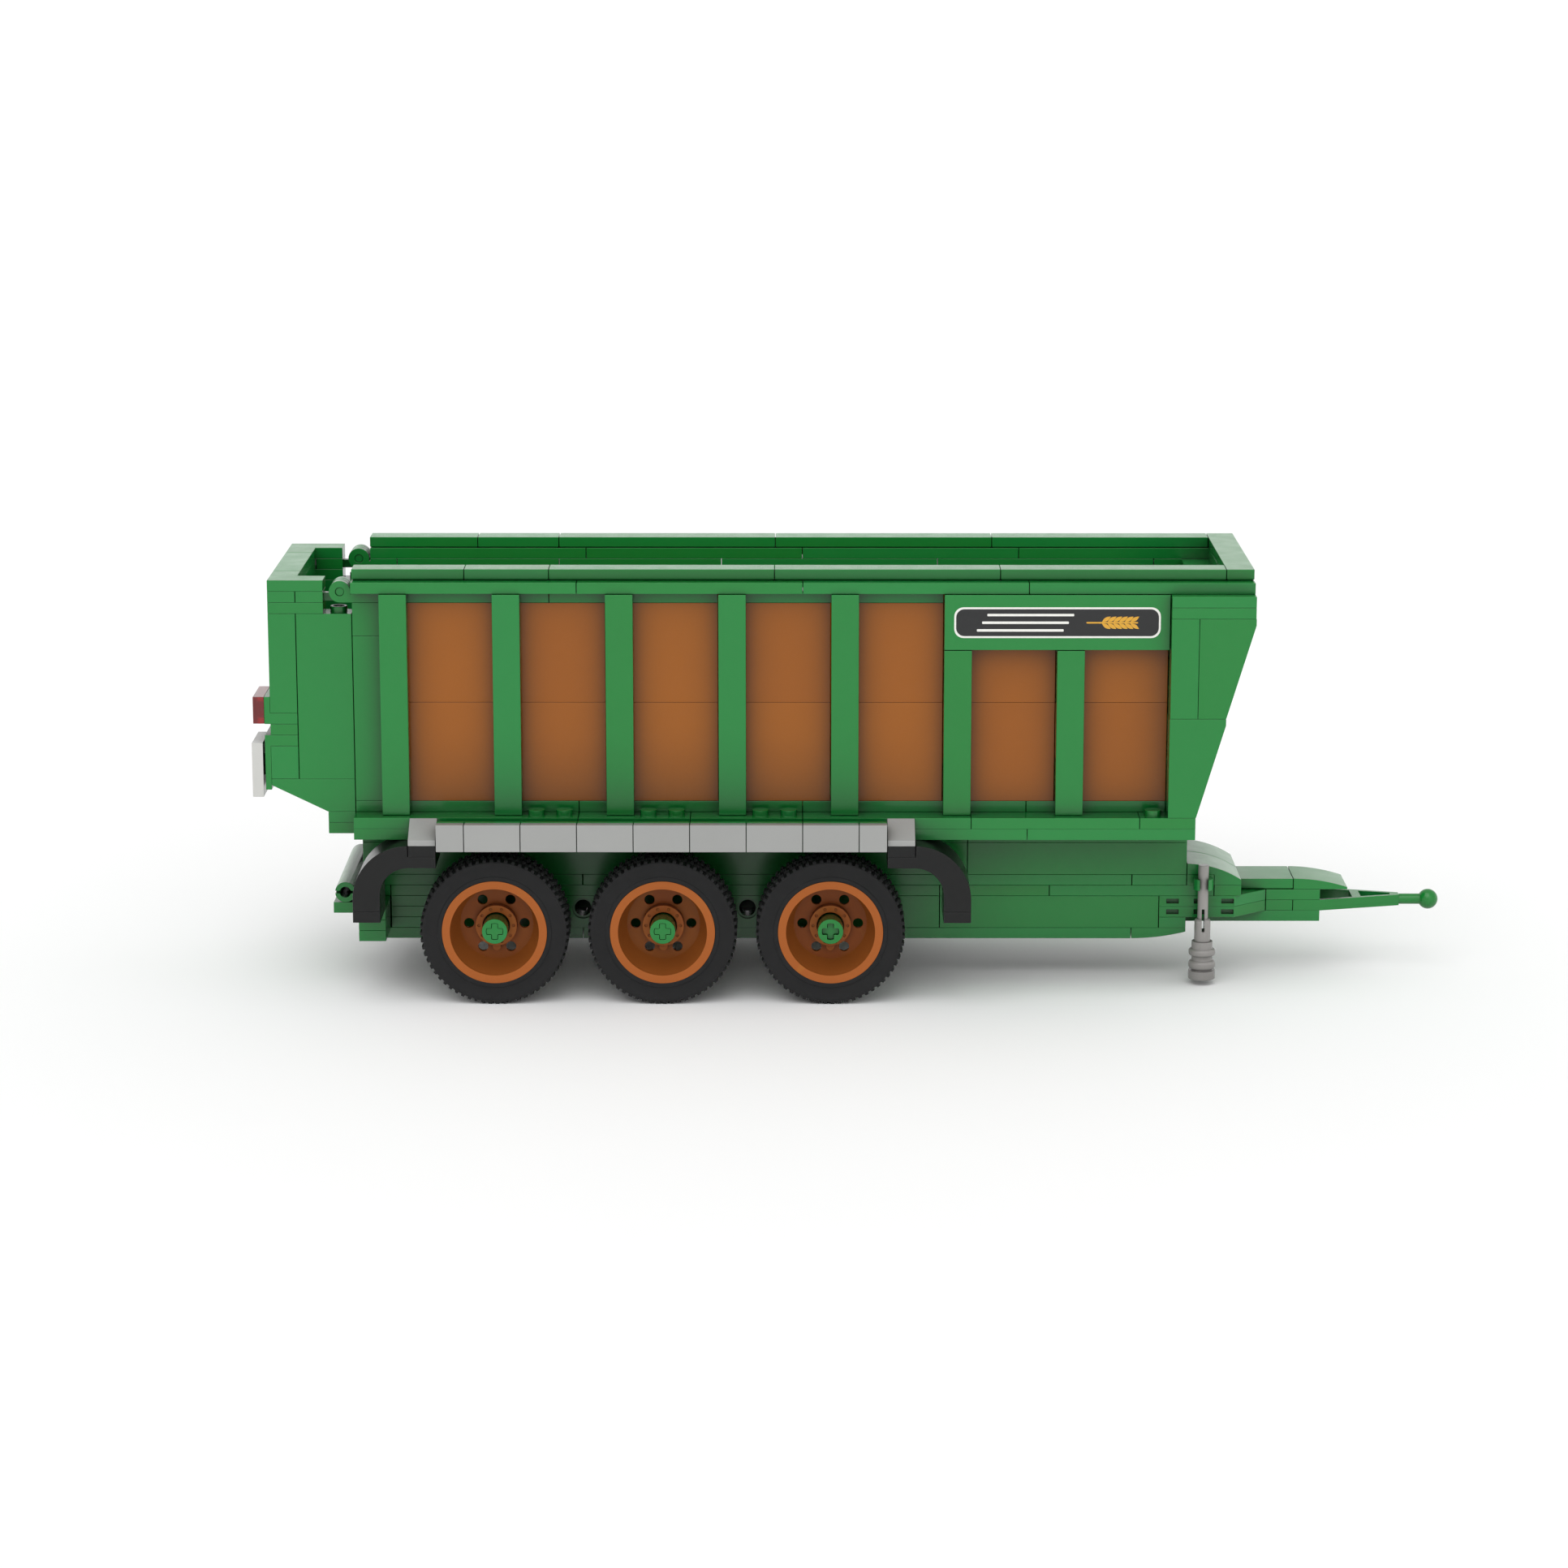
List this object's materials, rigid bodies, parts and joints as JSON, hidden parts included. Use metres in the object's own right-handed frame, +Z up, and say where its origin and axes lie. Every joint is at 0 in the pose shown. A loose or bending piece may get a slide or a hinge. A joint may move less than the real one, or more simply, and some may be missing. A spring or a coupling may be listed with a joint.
{
  "type": "toy farm trailer",
  "caption": "Brick-built toy three-axle grain and silage trailer with ribbed tub, slanted front wall, top-hinged tailgate, mudguards, jack and ball drawbar.",
  "frame": {"origin": "on the ground under the middle of the whole object's box, with the six tyres on Z = 0", "axes": "+X forward along the drawbar, +Y to the trailer's left, +Z up"},
  "size_m": [0.345, 0.0976, 0.1243],
  "materials": {
    "green_plastic": "glossy moulded",
    "brown_plastic": "glossy moulded",
    "grey_plastic": "glossy moulded",
    "black_plastic": "glossy moulded",
    "rim_plastic": "glossy moulded",
    "tyre_rubber": "matt moulded rubber",
    "jack_plastic": "glossy moulded",
    "white_plastic": "glossy moulded",
    "red_lens": "clear red moulding"
  },
  "bodies": {
    "chassis": {"ledge_plates": "green_plastic", "floor_plates": "green_plastic", "side_bottom_plates": "green_plastic", "side_panels": "brown_plastic", "side_top_plates": "green_plastic", "rear_posts": "green_plastic", "rib_tiles": "green_plastic", "rib_brackets": "green_plastic", "sign_boards": "green_plastic", "rim_plates": "green_plastic", "rim_tiles": "green_plastic", "front_slopes": "green_plastic", "front_columns": "green_plastic", "front_tie_plates": "green_plastic", "hinge_forks": "green_plastic", "skirt_brackets": "green_plastic", "skirt_tiles": "grey_plastic", "skirt_end_slopes": "grey_plastic", "mudguards": "black_plastic", "mudguard_plates": "black_plastic", "beam_top_plates": "green_plastic", "beam_bricks": "green_plastic", "beam_middle_plates": "green_plastic", "axle_bricks": "green_plastic", "beam_front_bricks": "green_plastic", "beam_bottom_plates": "green_plastic", "beam_nose": "green_plastic", "rear_cross_plates": "green_plastic", "underrun_tube": "green_plastic", "drawbar_cover_slopes": "green_plastic", "drawbar_wedge_plates": "green_plastic", "drawbar_tile": "green_plastic", "drawbar_nose": "green_plastic", "drawbar_lower_plates": "green_plastic", "tow_frame": "green_plastic", "jack_clip": "green_plastic"},
    "tailgate": {"hinge_fingers": "green_plastic", "gate_rim_tiles": "green_plastic", "gate_side_bricks": "green_plastic", "gate_rear_bricks": "green_plastic", "gate_bottom_slopes": "green_plastic", "gate_plates": "green_plastic", "rear_brackets": "green_plastic", "lamp_lenses": "red_lens", "marker_plates": "white_plastic"},
    "jack": {"jack_bar": "jack_plastic", "jack_sleeve": "jack_plastic", "jack_foot": "jack_plastic"},
    "axle_rear": {"axle_rear_shaft": "green_plastic", "axle_rear_rims": "rim_plastic", "axle_rear_tyres": "tyre_rubber", "axle_rear_bushes": "green_plastic"},
    "axle_middle": {"axle_middle_shaft": "green_plastic", "axle_middle_rims": "rim_plastic", "axle_middle_tyres": "tyre_rubber", "axle_middle_bushes": "green_plastic"},
    "axle_front": {"axle_front_shaft": "green_plastic", "axle_front_rims": "rim_plastic", "axle_front_tyres": "tyre_rubber", "axle_front_bushes": "green_plastic"}
  },
  "joints": [
    {"name": "tailgate_hinge", "type": "hinge", "parent": "chassis", "child": "tailgate", "pos_m": [-0.14642, 0, 0.11784], "axis": [0, 1, 0], "range_deg": [0, 90]},
    {"name": "jack_slide", "type": "slide", "parent": "chassis", "child": "jack", "axis": [0, 0, 1], "range_m": [-0.0017, 0.0055]},
    {"name": "axle_rear_spin", "type": "hinge", "parent": "chassis", "child": "axle_rear", "pos_m": [-0.10312, 0, 0.0213], "axis": [0, 1, 0], "continuous": true},
    {"name": "axle_middle_spin", "type": "hinge", "parent": "chassis", "child": "axle_middle", "pos_m": [-0.05513, 0, 0.0213], "axis": [0, 1, 0], "continuous": true},
    {"name": "axle_front_spin", "type": "hinge", "parent": "chassis", "child": "axle_front", "pos_m": [-0.00713, 0, 0.0213], "axis": [0, 1, 0], "continuous": true}
  ]
}
